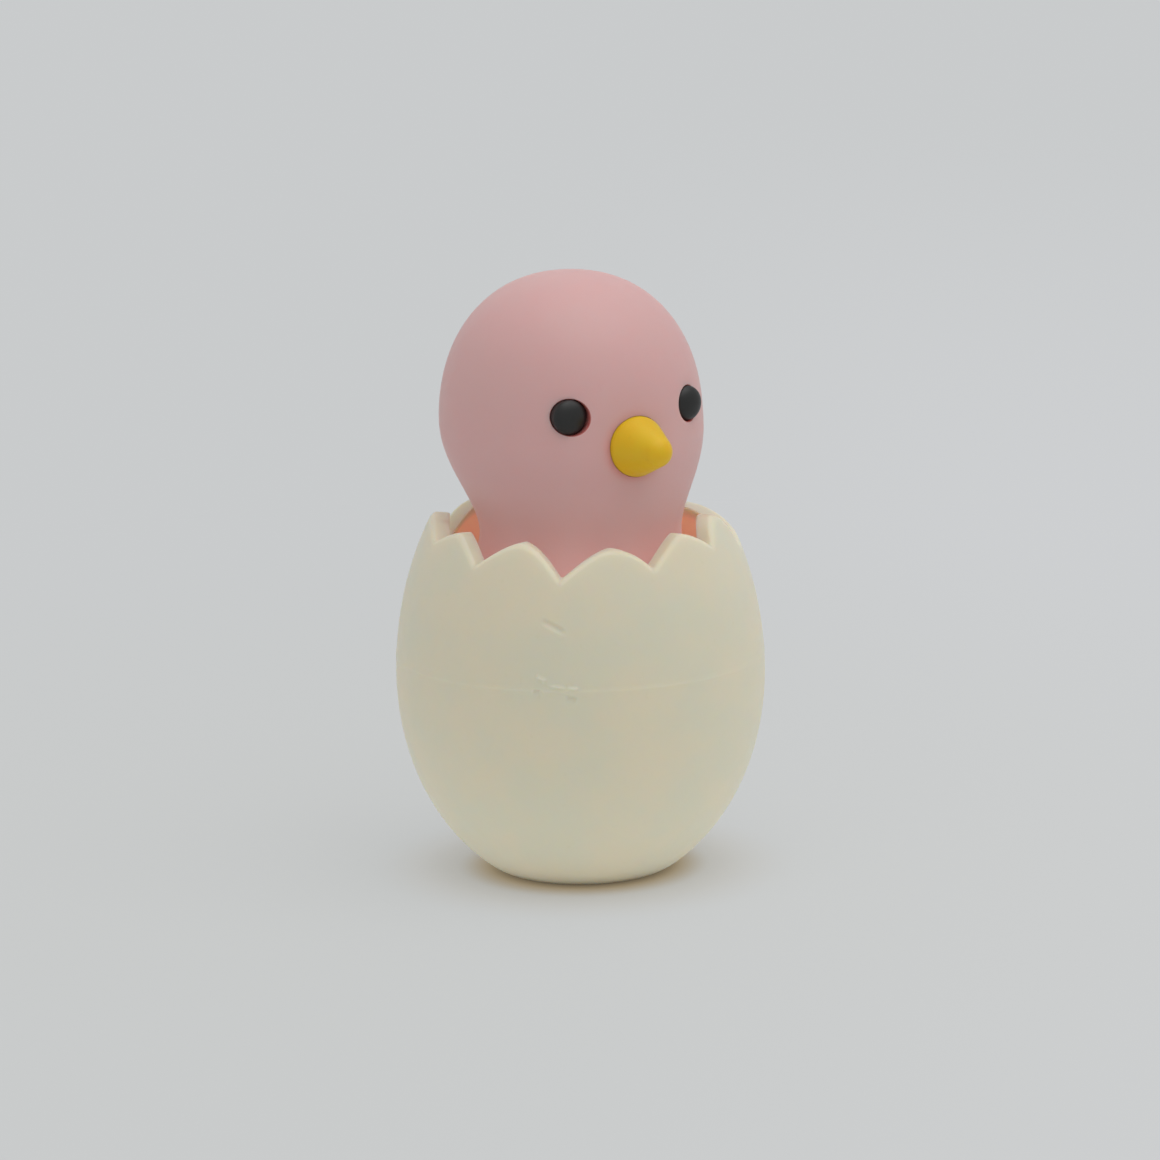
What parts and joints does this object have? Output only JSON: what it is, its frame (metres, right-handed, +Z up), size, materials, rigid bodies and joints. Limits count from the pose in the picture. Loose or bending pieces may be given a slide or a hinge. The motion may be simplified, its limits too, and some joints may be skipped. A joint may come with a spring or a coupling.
{
  "type": "rubber eraser",
  "caption": "Rubber eraser shaped as a pink chick with a yellow beak and black eyes, standing in an ivory eggshell cup with a broken scalloped rim",
  "frame": {"origin": "centre of the flat foot of the eggshell, on the table", "axes": "+Z is up, the chick faces -Y, and +X is on the chick's left"},
  "size_m": [0.027, 0.027, 0.0441],
  "materials": {
    "shell_rubber": "matt ivory moulded rubber",
    "chick_rubber": "matt pale pink moulded rubber",
    "beak_rubber": "matt yellow moulded rubber",
    "eye_rubber": "satin black moulded rubber"
  },
  "bodies": {
    "root": {"egg_shell": "shell_rubber", "chick_body": "chick_rubber", "beak": "beak_rubber", "left_eye": "eye_rubber", "right_eye": "eye_rubber"}
  },
  "joints": []
}
